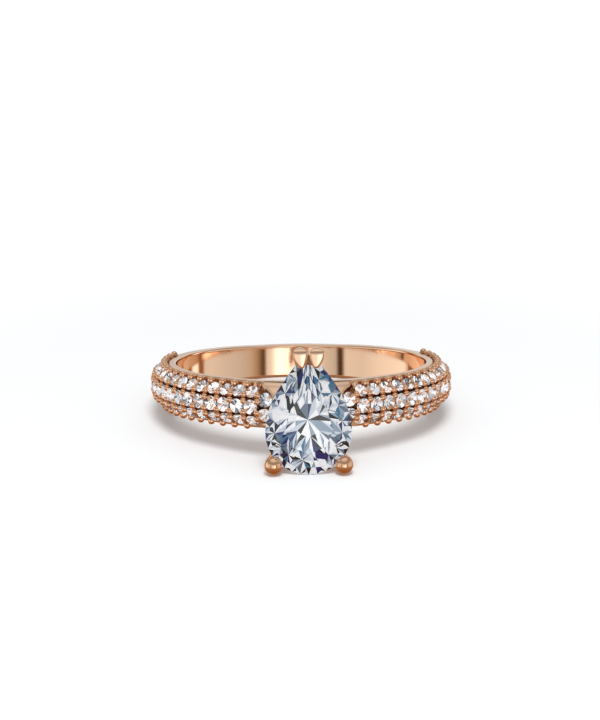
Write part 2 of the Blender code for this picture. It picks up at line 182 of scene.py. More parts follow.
sides = screens(room, ROUND_THE_ROOM)
height = room.out("Z")
# From 0 straight below, through 0.5 level with the ring, to 1 straight overhead.
UP_THE_ROOM = (
    (0.0, WARM), (0.36, (0.45, 0.32, 0.22)), (0.5, 0.6), (0.62, 0.75), (0.69, 0.55), (0.76, 0.34),
    (0.87, 0.36), (1.0, 0.9),
)
overhead = room.node("ValToRGB", {"stops": UP_THE_ROOM}, {"Fac": height * 0.5 + 0.5})
CEILING = (0.14, 0.34)  # heights over which the side screens give way to what hangs overhead
FLOOR = (-0.22, -0.42)
BACK_LIFT = 0.4  # how much higher the side screens reach behind the ring
behind = room.out("Y")
behind = behind.math("MAXIMUM", behind, 0.0)
above = (height - behind * BACK_LIFT).smooth(*CEILING)
below = height.smooth(*FLOOR)
for_metal = mixed(above.math("MAXIMUM", above, below), sides, overhead)
ROOM_GREY = (0.6, 0.62, 0.635, 1)
WHITE = (1, 1, 1, 1)
ray = studio.node("LightPath", {}, {})
seen = mixed(ray.out("Is Glossy Ray"), ROOM_GREY, for_metal)
seen = mixed(ray.out("Is Camera Ray"), seen, WHITE)
light = seen.node("Background", {}, {"Color": seen, "Strength": 1.0})
light.node("OutputWorld", {}, {"Surface": light})

KEY_PLACE = (0, -0.16, 0.28)
KEY_TILT = 30.0
KEY_SIZE = 0.13
KEY_POWER = 0.62
bpy.ops.object.light_add(type="AREA", location=KEY_PLACE)
key = bpy.context.object
key.data.shape = "DISK"
key.data.size = KEY_SIZE
key.data.energy = KEY_POWER
key.rotation_euler = (math.radians(KEY_TILT), 0, 0)
key.visible_glossy = False

TABLE_SIZE = 4
TABLE_WHITE = (0.93, 0.93, 0.93, 1)
GLOW_RADII = (0.022, 0.085)
GLOW = 0.5
bpy.ops.mesh.primitive_plane_add(size=TABLE_SIZE)
table = bpy.context.object
table.name = "table"
table.visible_glossy = False
table.visible_transmission = False
paper = bpy.data.materials.new("white_table")
paper.use_nodes = True
white = paper.node_tree.nodes["Principled BSDF"].inputs
white["Base Color"].default_value = TABLE_WHITE
white["Roughness"].default_value = 0.9
white["Emission Strength"].default_value = 1.0
# Away from the ring the table glows a little, so that it stays white beyond the light's reach.
spot = Wire(paper.node_tree).node("TexCoord", {}, {}).out("Object")
reach = spot.node("VectorMath", {"operation": "LENGTH"}, {0: spot}).out("Value")
glow = reach.smooth(*GLOW_RADII, GLOW)
glow.tree.links.new(glow.socket, white["Emission Color"])
table.data.materials.append(paper)


# The shank.
# One casting in rose gold: the round shank, the cathedral shoulders that climb to the head, the finger rail
# under it, and the bright-cut bed of the pave stones, with a U-shaped cut beside every stone.

FINGER_RADIUS = 8.25
BACK_WIDTH = 2.197
FRONT_WIDTH = 3.0
WIDENING = 0.6
FLAT_BACK = 160.0  # degrees from the head, past which the width no longer changes
EDGE_ROUND = 0.1
SIDE_FACE = 0.45
RAIL_RADIUS = 8.95
BACK_RADIUS = 9.548
SEAT_RADIUS = 9.75  # of the stones' girdles, before the shoulder rises
RISE = 0.5
RISE_START = 36.0
RISE_POWER = 1.3
SHOULDER_END = 8.0
COLUMNS = 16
SPACING = 1.0
FIRST_COLUMN = 20.8
ROW_TILT = 40.0
DOME = 0.93 / math.sin(math.radians(ROW_TILT))  # radius of the shoulder's cross-section
RIM = 1.6  # the bed's edge, measured round the dome from its middle


def rise(angle):
    share = (RISE_START - np.abs(angle)) / (RISE_START - SHOULDER_END)
    return RISE * np.clip(share, 0, 1) ** RISE_POWER


def half_width(angle):
    back = math.cos(math.radians(FLAT_BACK))
    share = np.clip((np.cos(np.radians(angle)) - back) / (1 - back), 0, 1)
    return (BACK_WIDTH + (FRONT_WIDTH - BACK_WIDTH) * share**WIDENING) / 2


# The angles of the columns of stones and, between them, of the posts, at steps of half a column.
half_columns = [FIRST_COLUMN]
for _ in range(2 * COLUMNS - 1):
    step = SPACING / 2 / (SEAT_RADIUS + rise(half_columns[-1]))
    half_columns.append(half_columns[-1] + math.degrees(step))
first_step = half_columns[1] - half_columns[0]
half_columns = [FIRST_COLUMN - 4 * first_step] + half_columns
column_numbers = [-2] + [i / 2 for i in range(2 * COLUMNS)]
LAST_POST = half_columns[-1]


def column_angle(number):
    return float(np.interp(number, column_numbers, half_columns))


def share_of(low, high, value):
    """Rises evenly from 0 at low to 1 at high."""
    return np.clip((value - low) / (high - low), 0, 1)


def soft(low, high, value):
    """Rises smoothly from 0 at low to 1 at high."""
    share = share_of(low, high, value)
    return share * share * (3 - 2 * share)


# Along the shoulder, half the width of a post and of a bar, and where each has sunk to the floor of the bed.
POST_EDGE = (0.06, 0.15)
BAR_EDGE = (0.07, 0.13)
# Round the dome: the edges of the middle row's seats, of the side row's seats and of the rim.
MIDDLE_EDGE = (0.18, 0.34)
SIDE_EDGE = (0.74, 0.82)
RIM_EDGE = (1.3, 1.42)
GROOVE_MIDDLE = 0.555
GROOVE_WIDTH = 0.1
GROOVE_DEPTH = 0.6  # as a share of the post
# Heights, from the stones' girdles.
BED_FLOOR = -0.42
POST_FOOT = -0.4
POST_RISE = 0.44
RIM_RISE = 0.5  # as a share of a post's
BAR_RISE = 0.54
RIDGE_RISE = 0.12
SKIN = 0.02  # the plain dome beyond the bed
# The closing pair's own bed, with a rounded end, in columns.
END_START = -0.45
END_LENGTH = 1.52
END_CUT = (-1.56, -1.5)
END_FLOOR = -0.45
END_MARGIN = 0.08


def bed_height(column, across):
    """Height of the metal above the stones' girdles, at that column and that far round the dome."""
    to_post = (0.5 - np.abs(column - np.round(column))) * SPACING
    post = 1 - soft(*POST_EDGE, to_post)
    bar = 1 - soft(*BAR_EDGE, to_post)
    between_rows = soft(*MIDDLE_EDGE, across) * (1 - soft(*SIDE_EDGE, across))
    groove = soft(GROOVE_WIDTH, 0.0, np.abs(across - GROOVE_MIDDLE))
    outer = soft(*RIM_EDGE, across)
    side_row = soft(*SIDE_EDGE, across) * (1 - outer)
    top = POST_FOOT + POST_RISE * np.maximum(between_rows * (1 - GROOVE_DEPTH * groove), RIM_RISE * outer)
    height = BED_FLOOR + (top - BED_FLOOR) * post
    height = np.maximum(height, BED_FLOOR + BAR_RISE * bar * side_row)
    height = np.maximum(height, BED_FLOOR + RIDGE_RISE * between_rows * (1 - groove))
    roundness = np.sqrt(np.clip(1 - (np.minimum(column, 0) / END_LENGTH) ** 2, 0, 1))
    end = roundness * (RIM + END_MARGIN)
    inside = 1 - soft(end - 0.03, end + 0.05, across)
    inside = inside * soft(*END_CUT, column)
    bed = np.where(column < END_START, END_FLOOR, height)
    return SKIN + (bed - SKIN) * inside


# Where the dome, its lip, the side face and the rounded edge end, as a share of the way from the middle of
# the outside to the middle of the hole.
DOME_END = 0.6
LIP_END = 0.7
FACE_END = 0.78
EDGE_END = 0.83
LIP_BULGE = 0.03
BACK_SQUARENESS = 0.7
PAVED_FROM = (SHOULDER_END, SHOULDER_END + 0.6)
PAVED_TO = (LAST_POST + 0.9, LAST_POST + 2.2)


def profile(angle, turn):
    """(radius, z) of the surface, where turn runs from 0 at the middle of the outside to 1 in the hole."""
    width = half_width(angle)
    lift = rise(angle)
    column = np.interp(np.abs(angle), half_columns, column_numbers)
    across = np.minimum(turn / DOME_END, 1) * RIM
    height = bed_height(column, across)
    lean = across / DOME
    dome_r = SEAT_RADIUS + lift - DOME + (DOME + height) * np.cos(lean)
    dome_z = (DOME + height) * np.sin(lean)
    corner_r = FINGER_RADIUS + SIDE_FACE + lift
    down = share_of(DOME_END, LIP_END, turn)
    shoulder_r = dome_r + (corner_r - dome_r) * down
    shoulder_z = dome_z + (width - dome_z) * down + LIP_BULGE * np.sin(np.pi * down)
    # Under the head and round the back there are no stones, so the section is plain.
    round_turn = share_of(0, LIP_END, turn) * np.pi / 2
    under_head = np.abs(angle) < 90
    crown = np.where(under_head, RAIL_RADIUS, BACK_RADIUS)
    side = np.where(under_head, RAIL_RADIUS - EDGE_ROUND, FINGER_RADIUS + SIDE_FACE + EDGE_ROUND)
    plain_r = side + (crown - side) * np.cos(round_turn)
    plain_z = width * np.sin(round_turn) ** BACK_SQUARENESS
    paved = soft(*PAVED_FROM, np.abs(angle)) * (1 - soft(*PAVED_TO, np.abs(angle)))
    r = plain_r + (shoulder_r - plain_r) * paved
    z = plain_z + (shoulder_z - plain_z) * paved
    top = side + (corner_r - side) * paved
    face_r = top + (FINGER_RADIUS + EDGE_ROUND - top) * share_of(LIP_END, FACE_END, turn)
    r = np.where(turn > LIP_END, face_r, r)
    z = np.where(turn > LIP_END, width, z)
    corner = share_of(FACE_END, EDGE_END, turn) * np.pi / 2
    r = np.where(turn > FACE_END, FINGER_RADIUS + EDGE_ROUND * (1 - np.sin(corner)), r)
    z = np.where(turn > FACE_END, width - EDGE_ROUND * (1 - np.cos(corner)), z)
    bore_z = (width - EDGE_ROUND) * (1 - share_of(EDGE_END, 1, turn))
    z = np.where(turn > EDGE_END, bore_z, z)
    return r, z


TORUS_RADIUS = 9
STEPS = (10, 14, 64, 18 * COLUMNS, 18, 34)  # sections from under the head to the middle of the back
# The angles between which each number of sections is spread.
KNOTS = (0, SHOULDER_END - 0.4, SHOULDER_END + 0.8, column_angle(-0.5), LAST_POST, LAST_POST + 4, 180)
SECTION_STEPS = 104
bpy.ops.object.select_all(action="DESELECT")
bpy.ops.mesh.primitive_torus_add(
    major_radius=TORUS_RADIUS,
    minor_radius=1,
    major_segments=2 * sum(STEPS),
    minor_segments=SECTION_STEPS,
)
shank = bpy.context.object
shank.name = "polished_shank"
points = np.empty(len(shank.data.vertices) * 3)
shank.data.vertices.foreach_get("co", points)
x, y, z = points.reshape(-1, 3).T
share = np.degrees(np.arctan2(x, -y)) / 180 * sum(STEPS)
angle = np.interp(np.abs(share), np.cumsum((0, *STEPS)), KNOTS) * np.sign(share)
turn = np.arctan2(z, np.hypot(x, y) - TORUS_RADIUS) / np.pi
r, z = profile(angle, np.abs(turn))
z = z * np.sign(turn)
points = np.stack((r * np.sin(np.radians(angle)), -r * np.cos(np.radians(angle)), z), 1)
shank.data.vertices.foreach_set("co", points.ravel())
bpy.ops.object.shade_smooth()


def on_ring(angle, radius, z):
    a = math.radians(angle)
    return Vector((radius * math.sin(a), -radius * math.cos(a), z))


# The opening under each shoulder, cut with a wedge-shaped bar.
ARCH_THICKNESS = 1.0
ARCH_START = SHOULDER_END - 3
ARCH_STEP = 2.2
for side in (-1, 1):
    bpy.ops.object.select_all(action="DESELECT")
    bpy.ops.mesh.primitive_cube_add(size=2, scale=(1, 1, FRONT_WIDTH))
    bar = bpy.context.object
    tool = bmesh.new()
    angles = [ARCH_START + i * ARCH_STEP for i in range(9)]
    low = [on_ring(side * a, RAIL_RADIUS, 0) for a in angles]
    high = [on_ring(side * a, SEAT_RADIUS + float(rise(a)) - ARCH_THICKNESS, 0) for a in angles[:-1]]
    outline = [tool.verts.new(p - Vector((0, 0, FRONT_WIDTH))) for p in low + high[::-1]]
    grown = bmesh.ops.extrude_face_region(tool, geom=[tool.faces.new(outline)])["geom"]
    moved = [v for v in grown if isinstance(v, bmesh.types.BMVert)]
    bmesh.ops.translate(tool, verts=moved, vec=(0, 0, 2 * FRONT_WIDTH))
    bmesh.ops.recalc_face_normals(tool, faces=tool.faces)
    tool.to_mesh(bar.data)
    tool.free()
    cut = shank.modifiers.new("arch", "BOOLEAN")
    cut.object = bar
    cut.operation = "DIFFERENCE"
    cut.solver = "MANIFOLD"
    bpy.context.view_layer.objects.active = shank
    bpy.ops.object.modifier_apply(modifier="arch")
    bpy.data.objects.remove(bar)


# How deep each point lies in the bed, for the painted shade that darkens the gold between the stones.
BED_SPAN = 64  # degrees round the dome from its middle
PAINTED_SHADE_HEIGHTS = (-0.08, -0.34)
points = np.empty(len(shank.data.vertices) * 3)
shank.data.vertices.foreach_get("co", points)
x, y, z = points.reshape(-1, 3).T
angle = np.degrees(np.arctan2(x, -y))
dome_middle = SEAT_RADIUS + rise(angle) - DOME
out = np.hypot(x, y) - dome_middle
height = np.hypot(out, z) - DOME
inside = (np.degrees(np.arctan2(np.abs(z), out)) < BED_SPAN) * (np.abs(angle) < LAST_POST + 1.5)
# Painted shade: the deeper a point lies in the bed, the darker its gold is painted.
recess = shank.data.attributes.new("recess", "FLOAT", "POINT")
recess.data.foreach_set("value", soft(*PAINTED_SHADE_HEIGHTS, height) * inside)


def principled(name, settings):
    """A material's principled shader and a wire to build on. Settings are constants for its own sockets."""
    made = bpy.data.materials.new(name)
    made.use_nodes = True
    shader = made.node_tree.nodes["Principled BSDF"]
    for socket, value in settings.items():
        shader.inputs[socket].default_value = value
    return made, shader, Wire(made.node_tree)


def feed(shader, socket, wire):
    wire.tree.links.new(wire.socket, shader.inputs[socket])


# The dark brown that is painted into the bed and onto the beads' feet as shade.
PAINTED_SHADE_GOLD = (0.2, 0.07, 0.025, 1)
MARK_DEPTH = 0.00001


def rose_gold(name, shades, scratches, with_painted_shade):
    """Polished rose gold with faint wheel marks and a colour that drifts between two shades. A piece with
    painted shade has an attribute of it, and its gold is painted darker, as shade, where that is high."""
    made, shader, start = principled(name, {"Metallic": 1.0})
    place = start.node("TexCoord", {}, {}).out("Object")
    cloud = place.node("TexNoise", {}, {"Vector": place, "Scale": 260.0, "Detail": 3.0})
    stretched = place.node("Mapping", {}, {"Vector": place, "Scale": (1.0, 1.0, 7.0)})
    marks = place.node(
        "TexNoise", {}, {"Vector": stretched, "Scale": 2600.0, "Detail": 4.0, "Roughness": 0.7}
    )
    colour = mixed(cloud, (*shades[0], 1), (*shades[1], 1))
    if with_painted_shade:
        # Painted shade: the gold is painted towards a dark brown where the attribute read here is high.
        depth = place.node("Attribute", {"attribute_name": "recess"}, {}).out("Fac")
        colour = mixed(depth, colour, PAINTED_SHADE_GOLD)
    feed(shader, "Base Color", colour)
    feed(shader, "Roughness", 0.045 + marks * 0.05)
    bump = marks.node("Bump", {}, {"Height": marks, "Strength": scratches, "Distance": MARK_DEPTH})
    feed(shader, "Normal", bump)
    return made


PALE_SHADES = ((0.96, 0.655, 0.455), (0.93, 0.61, 0.4))
bright_cut_gold = rose_gold("bright_cut_rose_gold", PALE_SHADES, 0.08, True)


def finish(piece, name, material, nodes):
    """Lays a finished piece on the table, gives it its material and ties it to the ring."""
    piece.name = name
    piece.data.name = name
    piece.data.transform(PLACE)
    piece.data.update()
    piece.data.materials.clear()
    piece.data.materials.append(material)
    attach(piece, "root")
    if nodes:
        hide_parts(*nodes)


finish(shank, "polished_shank", bright_cut_gold, ["shank"])


# The beads that hold the pave stones.
# Each post between two stones ends in a bead of gold that is pushed over the edge of the stones and rounded
# with a beading tool. There are six lines of them down each shoulder.

# A darker copy of the same rose gold, painted shade, for the beads and the prong balls.
PAINTED_DARKER_GOLD = ((0.93, 0.57, 0.36), (0.9, 0.52, 0.31))
bead_gold = rose_gold("beaded_rose_gold", PAINTED_DARKER_GOLD, 0.05, True)
# Each line's distance round the dome, the radius of its beads and their height above the girdles.
BEAD_LINES = ((0.36, 0.22, 0.01), (0.75, 0.22, 0.05), (1.52, 0.24, 0.06))


def seat_matrix(angle, across, height, turned=0.0):
    """The place of a stone or bead on the dome, with X along the row and Z out of the metal."""
    side = 1 if angle > 0 else -1
    lean = across / DOME
    before, after = (on_ring(angle + s, SEAT_RADIUS + float(rise(angle + s)), 0) for s in (-1, 1))
    along = (after - before).normalized()
    away = Vector((along.y, -along.x, 0))
    up = Vector((0, 0, 1))
    outward = away * math.cos(lean) + up * math.sin(lean)
    radius = SEAT_RADIUS + float(rise(angle)) - DOME * (1 - math.cos(lean))
    centre = on_ring(angle, radius, DOME * math.sin(lean)) + outward * height
    basis = Matrix((along, outward.cross(along), outward)).transposed().to_4x4()
    return Matrix.Translation(centre) @ basis @ Matrix.Rotation(turned * side, 4, "Z")


def copies(model, places):
    """One piece of many copies of a model, each at its place, and the model removed."""
    bpy.ops.object.select_all(action="DESELECT")
    for place in places:
        copy = model.copy()
        copy.data = model.data.copy()
        copy.data.transform(place)
        bpy.context.scene.collection.objects.link(copy)
        copy.select_set(True)
        bpy.context.view_layer.objects.active = copy
    bpy.data.objects.remove(model)
    bpy.ops.object.join()
    return bpy.context.object


FOOT_START = -0.3  # in radii: below it the bead becomes its post
POST_TAPER = 0.9
POST_STRETCH = 2.2
# How much painted shade a bead has at its middle, and how fast that grows towards its foot.
BEAD_PAINTED_SHADE = 0.25
FOOT_PAINTED_SHADE = 1.2


def bead(radius):
    """A round-topped bead on a short tapered post, painted darker towards its foot as shade."""
    bpy.ops.object.select_all(action="DESELECT")
    bpy.ops.mesh.primitive_uv_sphere_add(segments=10, ring_count=7, radius=radius)
    made = bpy.context.object
    painted_shades = []
    for v in made.data.vertices:
        painted_shades.append(min(max(BEAD_PAINTED_SHADE - FOOT_PAINTED_SHADE * v.co.z / radius, 0.0), 1.0))
        if v.co.z < FOOT_START * radius:
            v.co.x *= POST_TAPER
            v.co.y *= POST_TAPER
            v.co.z *= POST_STRETCH
    # Painted shade, darker towards the foot, read by the gold's material.
    depth = made.data.attributes.new("recess", "FLOAT", "POINT")
    depth.data.foreach_set("value", painted_shades)
    bpy.ops.object.shade_smooth()
    return made


FIRST_BEADS = -0.45  # in columns: the beads between the closing pair and the rows
for side, word in ((-1, "left"), (1, "right")):
    for up, place_word in ((1, "upper"), (-1, "lower")):
        for line, (across, radius, height) in enumerate(BEAD_LINES):
            name = f"beads_{word}_{place_word}_{line + 1}"
            angles = [side * column_angle(number + 0.5) for number in range(COLUMNS)]
            if line < 2:
                angles = [side * column_angle(FIRST_BEADS)] + angles
            made = copies(bead(radius), [seat_matrix(a, up * across, height) for a in angles])
            finish(made, name, bead_gold, [])


# The rails of the head.
# Two pear-shaped wires, a small one soldered on the finger rail and a larger one half way up, tie the four
# prongs together under the stone.

polished_gold = rose_gold("polished_rose_gold", PALE_SHADES, 0.06, False)

def upright(node):
    """The lowest and highest corners of a node of the frame, in millimetres about the finger hole."""
    back = PLACE.inverted()
    corners = np.array([back @ v.co for v in frame["nodes"][node].data.vertices])
    return Vector(corners.min(0)), Vector(corners.max(0))


stone_low, stone_high = upright("centre_stone")
PEAR_WIDTH = stone_high.x - stone_low.x
PEAR_LENGTH = stone_high.z - stone_low.z
PEAR_BOTTOM = stone_low.z
TABLE_OUT = -stone_low.y
CULET_OUT = -stone_high.y
CULET_RISE = 3.25
CULET_Z = PEAR_BOTTOM + CULET_RISE
SIDE_POWER = 0.66  # how full the pear's sides are, and how far they draw in towards its point
SIDE_HOLLOW = 0.38


def pear_outline(scale, steps):
    """Points (x, z) of the pear's outline, up the right side from the round end, scaled about the culet."""
    half = PEAR_WIDTH / 2
    widest = PEAR_BOTTOM + half
    found = []
    for i in range(steps + 1):
        t = math.pi * i / steps
        if t <= math.pi / 2:
            x, z = half * math.sin(t), widest - half * math.cos(t)
        else:
            up = 2 * t / math.pi - 1
            x = half * (1 - up**2) ** SIDE_POWER * (1 - SIDE_HOLLOW * up**2)
            z = widest + (PEAR_LENGTH - half) * up
        found.append((x * scale, CULET_Z + (z - CULET_Z) * scale))
    return found + [(-x, z) for x, z in reversed(found[1:-1])]


def curve_piece(points, radii, closed, sides):
    """A round wire through the points, as a mesh, with a radius at each point."""
    line = bpy.data.curves.new("wire", "CURVE")
    line.dimensions = "3D"
    line.bevel_depth = 1.0
    line.bevel_resolution = sides
    line.resolution_u = 6
    line.use_fill_caps = True
    spline = line.splines.new("NURBS")
    spline.points.add(len(points) - 1)
    for point, place, radius in zip(spline.points, points, radii):
        point.co = (*place, 1)
        point.radius = radius
    spline.order_u = 4
    spline.use_cyclic_u = closed
    spline.use_endpoint_u = not closed
    made = bpy.data.objects.new("wire", line)
    bpy.context.scene.collection.objects.link(made)
    bpy.ops.object.select_all(action="DESELECT")
    made.select_set(True)
    bpy.context.view_layer.objects.active = made
    bpy.ops.object.convert(target="MESH")
    bpy.ops.object.shade_smooth()
    return bpy.context.object


RAIL_WIRE = 0.18
RAIL_DROP = 0.2
RAIL_SCALES = {"gallery_rail": 0.66, "base_rail": 0.33}  # of the pear's outline
for node, scale in RAIL_SCALES.items():
    low, high = upright(node)
    out = -(low.y + high.y) / 2 - RAIL_DROP
    line = [(x, -out, z) for x, z in pear_outline(scale, 16)]
    rail = curve_piece(line, [RAIL_WIRE] * len(line), True, 4)
    finish(rail, node + "_wire", polished_gold, [node])


# The round prongs.
# Two wires lean out from the base past the gallery to the round end of the pear. Each ends in a polished
# ball that is closed over the crown.

# The balls take the darker copy of the gold: painted shade.
ball_gold = rose_gold("round_prong_rose_gold", PAINTED_DARKER_GOLD, 0.04, False)
BALL_RADIUS = 0.57
PAVILION_DEPTH = 2.4
GIRDLE_OUT = CULET_OUT + PAVILION_DEPTH
FOOT_OUT = 9.12
FOOT_SHARE = 0.33  # of the way from the middle of the head to the prong's end
KNEE_OUT = 10.6
NECK_DROP = 0.45
PRONG_RADII = (0.27, 0.3, 0.42, 0.51, 0.53, 0.5)
for side, word in ((-1, "left"), (1, "right")):
    low, high = upright(f"prong_round_{word}")
    x = high.x - BALL_RADIUS if side > 0 else low.x + BALL_RADIUS
    z = low.z + BALL_RADIUS
    ball_out = -low.y - BALL_RADIUS
    foot = Vector((FOOT_SHARE * x, -FOOT_OUT, CULET_Z + FOOT_SHARE * (z - CULET_Z)))
    knee = Vector((0.93 * x, -KNEE_OUT, CULET_Z + 0.9 * (z - CULET_Z)))
    neck = Vector((x, -GIRDLE_OUT + NECK_DROP, z))
    ball = Vector((x, -ball_out, z))
    path = [foot, foot.lerp(knee, 0.5), knee, neck, ball.lerp(neck, 0.5), ball]
    wire = curve_piece(path, PRONG_RADII, False, 6)
    bpy.ops.object.select_all(action="DESELECT")
    bpy.ops.mesh.primitive_uv_sphere_add(segments=40, ring_count=24, radius=BALL_RADIUS, location=ball)
    bpy.ops.object.transform_apply(location=True)
    bpy.ops.object.shade_smooth()
    wire.select_set(True)
    bpy.context.view_layer.objects.active = wire
    bpy.ops.object.join()
    finish(wire, f"round_prong_{word}", ball_gold, [f"prong_round_{word}"])


# The claw prongs.
# Two flattened wires climb past the point of the pear and bend over it. Each is filed to a leaf with a ridge
# down its middle, broad at the bend and narrow where it grips the crown.

TIP_SPREAD = 0.52
GIRDLE_THICKNESS = 0.12
BEND_RISE = 0.34
CLAW_CORNERS = 24
CLAW_RIDGE = 0.45
RIDGE_PEAK = 1.6
PLAIN_STATIONS = 5  # those below the bend, which have no ridge
tip_z = PEAR_BOTTOM + PEAR_LENGTH
crown_out = GIRDLE_OUT + GIRDLE_THICKNESS
top = tip_z + BEND_RISE


def claw_section(centre, forward, wide, thick, ridge):
    """A ring of points round the claw, with a ridge along its outside."""
    side = Vector((1, 0, 0))
    up = side.cross(forward).normalized()
    ring = []
    for i in range(CLAW_CORNERS):
        a = math.tau * i / CLAW_CORNERS
        peak = ridge * (1 - abs(math.cos(a))) if math.sin(a) > 0 else 0.0
        raised = math.sin(a) * (1 - ridge) + peak * RIDGE_PEAK
        ring.append(centre + side * wide * math.cos(a) + up * thick * raised)
    return ring


for side, word in ((-1, "left"), (1, "right")):
    x = side * TIP_SPREAD
    # Each station's x, distance out from the finger hole's axis, z, half width and half thickness.
    stations = (
        (0.8 * x, 9.0, CULET_Z + FOOT_SHARE * (tip_z - CULET_Z), 0.28, 0.25),
        (0.85 * x, GIRDLE_OUT - 1.55, CULET_Z + 0.72 * (tip_z - CULET_Z), 0.29, 0.27),
        (x, GIRDLE_OUT - 0.55, tip_z + 0.02, 0.31, 0.27),
        (x, GIRDLE_OUT - 0.1, top - 0.16, 0.33, 0.25),
        (x, crown_out + 0.2, top - 0.02, 0.35, 0.18),
        (x, crown_out + 0.42, top + 0.02, 0.41, 0.14),
        (x, crown_out + 0.5, top - 0.13, 0.46, 0.14),
        (x, crown_out + 0.51, top - 0.38, 0.46, 0.16),
        (0.97 * x, crown_out + 0.51, top - 0.6, 0.4, 0.17),
        (0.92 * x, crown_out + 0.5, top - 0.81, 0.31, 0.16),
        (0.86 * x, crown_out + 0.49, top - 1.0, 0.2, 0.15),
        (0.8 * x, crown_out + 0.47, top - 1.12, 0.13, 0.12),
    )
    centres = [Vector((s[0], -s[1], s[2])) for s in stations]
    claw = bmesh.new()
    rings = []
    for i, (centre, station) in enumerate(zip(centres, stations)):
        forward = (centres[min(i + 1, len(centres) - 1)] - centres[max(i - 1, 0)]).normalized()
        ridge = 0.0 if i < PLAIN_STATIONS else CLAW_RIDGE
        ring = claw_section(centre, forward, station[3], station[4], ridge)
        rings.append([claw.verts.new(p) for p in ring])
    for first, second in zip(rings, rings[1:]):
        for i in range(CLAW_CORNERS):
            j = (i + 1) % CLAW_CORNERS
            claw.faces.new((first[i], first[j], second[j], second[i]))
    claw.faces.new(rings[0])
    claw.faces.new(rings[-1])
    bmesh.ops.recalc_face_normals(claw, faces=claw.faces)
    mesh = bpy.data.meshes.new("claw")
    claw.to_mesh(mesh)
    claw.free()
    made = bpy.data.objects.new("claw", mesh)
    bpy.context.scene.collection.objects.link(made)
    bpy.ops.object.select_all(action="DESELECT")
    made.select_set(True)
    bpy.context.view_layer.objects.active = made
    round_off = made.modifiers.new("round", "SUBSURF")
    round_off.levels = 2
    round_off.render_levels = 2
    bpy.ops.object.modifier_apply(modifier="round")
    bpy.ops.object.shade_smooth()
    finish(made, f"claw_prong_{word}", polished_gold, [f"prong_tip_{word}"])


# The pave stones.
# Round brilliants of about one millimetre, three rows down each shoulder and a pair that closes the rows at
# the head, each with a table, a crown of kites and girdle facets, a thin girdle and a pointed pavilion.


def diamond(name, glow):
    """Clear crown facets over pavilion facets with painted reflections of the room, glowing that strongly.
    """
    made, crown, start = principled(name, {"IOR": 1.8, "Transmission Weight": 1.0, "Roughness": 0.0})
    place = start.node("TexCoord", {}, {}).out("Object")
    cloud = place.node("TexNoise", {}, {"Vector": place, "Scale": 700.0, "Detail": 1.0})
    feed(crown, "Base Color", mixed(cloud, (0.95, 0.97, 1.0, 1), (1.0, 1.0, 1.0, 1)))
    # Each pavilion facet's painted reflection, which it also glows with.
    shade = place.node("Attribute", {"attribute_name": "facet_shade"}, {})
    inner = shade.node("BsdfPrincipled", {}, {"Base Color": shade, "Emission Color": shade})
    inner.socket.node.inputs["Emission Strength"].default_value = glow
    inner.socket.node.inputs["Specular IOR Level"].default_value = 0.0
    under = shade.node("Attribute", {"attribute_name": "pavilion"}, {}).out("Fac")
    both = under.node("MixShader", {}, {0: under, 1: Wire(under.tree, crown.outputs[0]), 2: inner})
    output = made.node_tree.nodes["Material Output"]
    made.node_tree.links.new(both.socket, output.inputs["Surface"])
    return made


# How common each painted reflection of the pavilion facets is, and its colour.
PAVE_PAINTED_REFLECTIONS = (
    (0.34, (1.0, 1.0, 1.0)),
    (0.2, (0.6, 0.63, 0.67)),
    (0.16, (0.28, 0.29, 0.32)),
    (0.15, (0.06, 0.05, 0.05)),
    (0.15, (0.5, 0.28, 0.16)),
)
pave_diamond = diamond("pave_diamond", 0.6)


def paint_facet_reflections(piece, shades, seed):
    """Draws a painted reflection for each facet, from pairs of how common it is and its colour."""
    draw = np.random.default_rng(seed)
    count = len(piece.data.polygons)
    limits = np.cumsum([share for share, colour in shades])
    picks = np.searchsorted(limits, draw.random(count) * limits[-1])
    colours = np.array([(*colour, 1.0) for share, colour in shades])[picks]
    found = piece.data.attributes.new("facet_shade", "FLOAT_COLOR", "FACE")
    found.data.foreach_set("color", colours.ravel())


BACKWARD = 0.1  # a facet whose normal leans this far back belongs to the pavilion


def mark_pavilion(piece, outward):
    """Tells the facets that face away from outward from those of the crown and the girdle."""
    marks = [float(face.normal.dot(outward) < -BACKWARD) for face in piece.data.polygons]
    found = piece.data.attributes.new("pavilion", "FLOAT", "FACE")
    found.data.foreach_set("value", marks)


def faceted(points):
    """A flat-faced stone: the hull of its corners."""
    made = bpy.data.objects.new("stone", bpy.data.meshes.new("stone"))
    made.data.from_pydata(points, [], [])
    bpy.context.scene.collection.objects.link(made)
    bpy.ops.object.select_all(action="DESELECT")
    made.select_set(True)
    bpy.context.view_layer.objects.active = made
    bpy.ops.object.mode_set(mode="EDIT")
    bpy.ops.mesh.select_all(action="SELECT")
    bpy.ops.mesh.convex_hull(join_triangles=False)
    bpy.ops.object.mode_set(mode="OBJECT")
    return made


def brilliant(diameter):
    """A round brilliant, point down, with the top of its girdle at the origin."""
    half = diameter / 2
    # Each level's share of the radius, height over the diameter, number of corners and turn in eighths.
    levels = (
        (0.57, 0.15, 8, 0.0),
        (0.8, 0.082, 8, 0.5),
        (1.0, 0.0, 16, 0.0),
        (1.0, -0.025, 16, 0.0),
        (0.3, -0.33, 8, 0.5),
        (0.0, -0.435, 1, 0.0),
    )
    points = []
    for share, height, count, turned in levels:
        for i in range(count):
            a = math.tau * (i / count + turned / 8)
            points.append((share * half * math.cos(a), share * half * math.sin(a), height * diameter))
    stone = faceted(points)
    mark_pavilion(stone, Vector((0, 0, 1)))
    return stone


